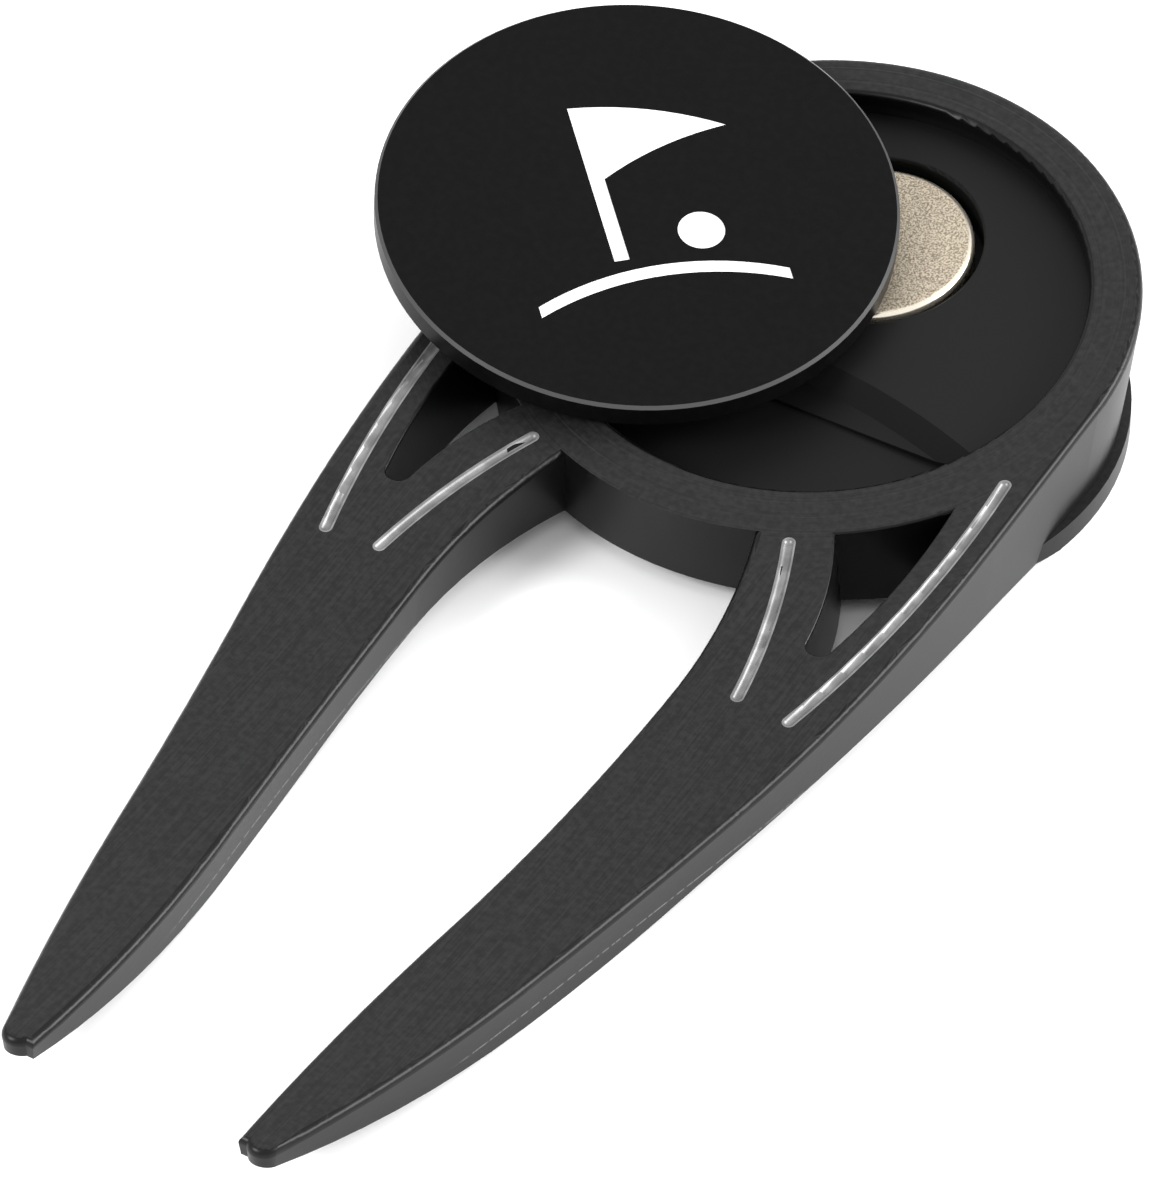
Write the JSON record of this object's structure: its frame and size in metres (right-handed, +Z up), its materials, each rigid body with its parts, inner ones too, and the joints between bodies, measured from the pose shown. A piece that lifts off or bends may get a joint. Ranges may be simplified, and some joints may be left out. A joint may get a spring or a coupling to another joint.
{
  "type": "divot repair tool",
  "caption": "Two-pronged golf divot repair tool with a round recessed head, a magnet and a lift-off ball marker.",
  "frame": {"origin": "on the surface that the tool rests on, straight below the centre of the round marker recess", "axes": "+Z up, +Y towards the rear of the round head, prongs towards -Y, X across the prongs"},
  "size_m": [0.0379, 0.0749, 0.0116],
  "materials": {
    "cast_black": "brushed satin black plating on a zinc casting",
    "groove_silver": "silver grey enamel",
    "magnet_plating": "champagne plating, sand-blasted face, polished rim",
    "adhesive": "cured clear epoxy",
    "marker_black": "smooth satin black enamel on steel",
    "marker_white": "white enamel"
  },
  "bodies": {
    "tool": {"tool_body": "cast_black", "groove_paint_left_inner": "groove_silver", "groove_paint_left_outer": "groove_silver", "groove_paint_right_inner": "groove_silver", "groove_paint_right_outer": "groove_silver", "magnet": "magnet_plating", "magnet_adhesive": "adhesive"},
    "marker": {"marker_disc": "marker_black", "marker_paint_flag": "marker_white", "marker_paint_ball": "marker_white", "marker_paint_green": "marker_white"}
  },
  "joints": [
    {"name": "marker_lift", "type": "slide", "parent": "tool", "child": "marker", "axis": [0, -0.1305, 0.9914], "range_m": [0, 0.025]}
  ]
}
